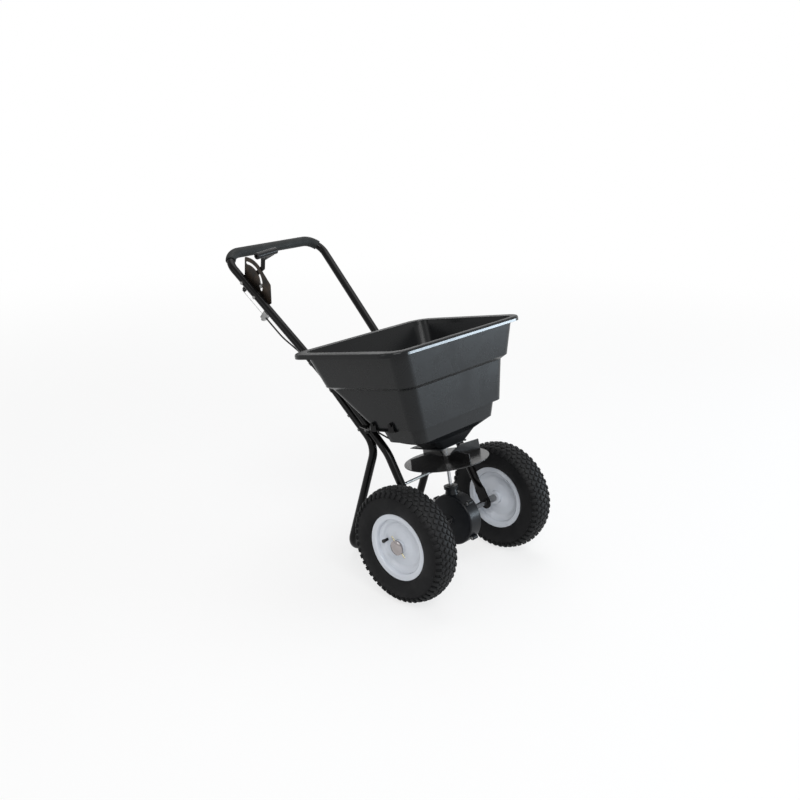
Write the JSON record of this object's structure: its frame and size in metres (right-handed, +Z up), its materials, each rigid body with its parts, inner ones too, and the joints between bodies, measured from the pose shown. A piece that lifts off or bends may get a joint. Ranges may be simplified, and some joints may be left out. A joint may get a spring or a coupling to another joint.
{
  "type": "lawn spreader",
  "caption": "Walk-behind broadcast lawn spreader with a black hopper, pneumatic wheels, a geared spreading disc and a lever-controlled shut-off gate.",
  "frame": {"origin": "on the ground, under the middle of the object's box", "axes": "+Z up, handle towards +Y, front towards -Y, +X is the operator's left"},
  "size_m": [0.562, 0.9454, 0.8882],
  "materials": {
    "frame_black": "satin",
    "hopper_black": "satin",
    "disc_black": "gloss",
    "case_black": "satin",
    "foam_black": "matte",
    "tyre_rubber": "matte",
    "rim_white": "gloss",
    "cap_chrome": "polished",
    "bright_steel": "satin",
    "zinc": "satin",
    "yellow_zinc": "satin",
    "plate_bronze": "satin",
    "nylon": "satin",
    "gear_grey": "satin",
    "cable_black": "satin"
  },
  "bodies": {
    "root": {"hopper": "hopper_black", "hopper_bracket_right": "frame_black", "hopper_bracket_left": "frame_black", "hopper_bolts": "frame_black", "hopper_nuts": "zinc", "front_tube_right": "frame_black", "front_tube_left": "frame_black", "tube_plugs": "hopper_black", "stand_frame": "frame_black", "handle_tube": "frame_black", "grip": "foam_black", "cross_brace": "zinc", "frame_bolts": "zinc", "frame_nuts": "zinc", "frame_bushings": "case_black", "gearbox_bushings": "case_black", "gearbox_right": "case_black", "gearbox_left": "case_black", "gearbox_screws": "zinc", "shaft_bushings": "nylon", "gate_guides": "frame_black", "quadrant_plate": "plate_bronze", "quadrant_bolts": "zinc", "quadrant_nuts": "zinc", "cable_clamp": "zinc", "clamp_screw": "zinc", "control_cable": "cable_black", "cable_clips": "cable_black"},
    "drive": {"axle": "bright_steel", "axle_spacers": "zinc", "ring_gear": "gear_grey", "ring_gear_pin": "bright_steel", "tyre_right": "tyre_rubber", "rim_right": "rim_white", "hub_right": "rim_white", "hub_cap_right": "cap_chrome", "valve_stem_right": "tyre_rubber", "valve_cap_right": "cable_black", "drive_pin": "yellow_zinc", "retaining_washer": "zinc"},
    "free_wheel": {"tyre_left": "tyre_rubber", "rim_left": "rim_white", "hub_left": "rim_white", "hub_cap_left": "cap_chrome", "valve_stem_left": "tyre_rubber", "valve_cap_left": "cable_black"},
    "impeller": {"impeller_shaft": "bright_steel", "pinion": "bright_steel", "shaft_pins": "bright_steel", "impeller_disc": "disc_black", "agitator": "zinc"},
    "lever": {"control_lever": "frame_black", "lever_knob": "foam_black"},
    "wire": {"inner_wire": "bright_steel"},
    "gate": {"shut_off_gate": "zinc", "gate_clevis": "zinc", "lower_wire": "bright_steel"},
    "stop": {"stop_bolt": "zinc", "wing_nut": "zinc"}
  },
  "joints": [
    {"name": "drive_spin", "type": "hinge", "parent": "root", "child": "drive", "pos_m": [0, -0.30775, 0.165], "axis": [1, 0, 0], "continuous": true},
    {"name": "free_wheel_spin", "type": "hinge", "parent": "root", "child": "free_wheel", "pos_m": [0.217, -0.30775, 0.165], "axis": [1, 0, 0], "continuous": true},
    {"name": "impeller_spin", "type": "hinge", "parent": "root", "child": "impeller", "pos_m": [0, -0.27864, 0.30194], "axis": [0, 0.2079, 0.9781], "continuous": true},
    {"name": "lever_swing", "type": "hinge", "parent": "root", "child": "lever", "pos_m": [-0.18065, 0.37034, 0.78286], "axis": [0.9944, 0.0818, 0.0663], "range_deg": [-25, 13]},
    {"name": "wire_slide", "type": "slide", "parent": "root", "child": "wire", "axis": [-0.1053, 0.7726, 0.6261], "range_m": [-0.0165, 0.00858]},
    {"name": "gate_slide", "type": "slide", "parent": "root", "child": "gate", "axis": [0, 0.9781, -0.2079], "range_m": [-0.0165, 0.00858]},
    {"name": "stop_adjust", "type": "hinge", "parent": "root", "child": "stop", "pos_m": [-0.18065, 0.37034, 0.78286], "axis": [0.9944, 0.0818, 0.0663], "range_deg": [-18, 9]}
  ],
  "couplings": [
    {"joint": "impeller_spin", "follows": "drive_spin", "ratio": -4},
    {"joint": "wire_slide", "follows": "lever_swing", "m_per_rad": 0.037815},
    {"joint": "gate_slide", "follows": "lever_swing", "m_per_rad": 0.037815}
  ]
}
